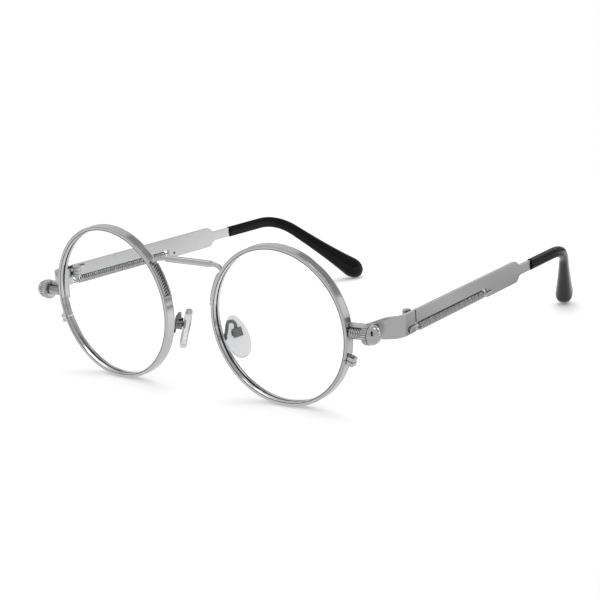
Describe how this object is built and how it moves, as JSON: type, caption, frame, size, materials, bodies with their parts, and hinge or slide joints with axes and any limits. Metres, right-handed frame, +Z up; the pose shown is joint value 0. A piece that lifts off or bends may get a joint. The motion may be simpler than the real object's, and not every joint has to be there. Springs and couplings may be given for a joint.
{
  "type": "round eyeglasses",
  "caption": "Round metal glasses with clear lenses, threaded side bolts, folding temples with springs along them, rocking nose pads and black tips.",
  "frame": {"origin": "on the surface the glasses stand on, below the middle of their whole size", "axes": "+Z up, the front faces -Y, +X towards the temple named right, as seen from the front"},
  "size_m": [0.1442, 0.146, 0.0501],
  "materials": {
    "polished_metal": "polished",
    "satin_metal": "satin",
    "knurled_metal": "knurled",
    "screw_metal": "turned",
    "spring_wire": "drawn wire",
    "lens": "clear, polished",
    "pad_silicone": "clear, soft",
    "tip_plastic": "gloss"
  },
  "bodies": {
    "front": {"bridge": "polished_metal", "rim_right": "polished_metal", "lens_right": "lens", "bridge_foot_right": "knurled_metal", "pad_arm_right": "polished_metal", "pad_box_right": "polished_metal", "pad_screw_right": "screw_metal", "rim_lock_upper_right": "satin_metal", "rim_lock_lower_right": "satin_metal", "rim_lock_screw_right": "screw_metal", "side_bolt_right": "polished_metal", "bolt_collar_right": "knurled_metal", "bolt_cap_right": "polished_metal", "end_piece_right": "satin_metal", "hinge_front_leaf_right": "satin_metal", "hinge_screw_right": "screw_metal", "rim_left": "polished_metal", "lens_left": "lens", "bridge_foot_left": "knurled_metal", "pad_arm_left": "polished_metal", "pad_box_left": "polished_metal", "pad_screw_left": "screw_metal", "rim_lock_upper_left": "satin_metal", "rim_lock_lower_left": "satin_metal", "rim_lock_screw_left": "screw_metal", "side_bolt_left": "polished_metal", "bolt_collar_left": "knurled_metal", "bolt_cap_left": "polished_metal", "end_piece_left": "satin_metal", "hinge_front_leaf_left": "satin_metal", "hinge_screw_left": "screw_metal"},
    "temple_right": {"temple_right": "satin_metal", "temple_tip_right": "tip_plastic", "hinge_rear_leaf_right": "satin_metal", "spring_right": "spring_wire", "spring_hook_right": "spring_wire"},
    "temple_left": {"temple_left": "satin_metal", "temple_tip_left": "tip_plastic", "hinge_rear_leaf_left": "satin_metal", "spring_left": "spring_wire", "spring_hook_left": "spring_wire"},
    "nose_pad_right": {"nose_pad_right": "pad_silicone", "pad_insert_right": "screw_metal"},
    "nose_pad_left": {"nose_pad_left": "pad_silicone", "pad_insert_left": "screw_metal"}
  },
  "joints": [
    {"name": "temple_right_fold", "type": "hinge", "parent": "front", "child": "temple_right", "pos_m": [0.06793, -0.05212, 0.02615], "axis": [0.0003, -0.0035, 1], "range_deg": [0, 85], "deforming": ["spring_hook_right"]},
    {"name": "temple_left_fold", "type": "hinge", "parent": "front", "child": "temple_left", "pos_m": [-0.06793, -0.05212, 0.02615], "axis": [0.0003, 0.0035, -1], "range_deg": [0, 78], "deforming": ["spring_hook_left"]},
    {"name": "nose_pad_right_rock", "type": "hinge", "parent": "front", "child": "nose_pad_right", "pos_m": [0.01188, -0.0637, 0.01898], "axis": [0.5968, 0.7771, 0.1997], "range_deg": [-8, 8]},
    {"name": "nose_pad_left_rock", "type": "hinge", "parent": "front", "child": "nose_pad_left", "pos_m": [-0.01188, -0.0637, 0.01898], "axis": [-0.5968, 0.7771, 0.1997], "range_deg": [-8, 8]}
  ]
}
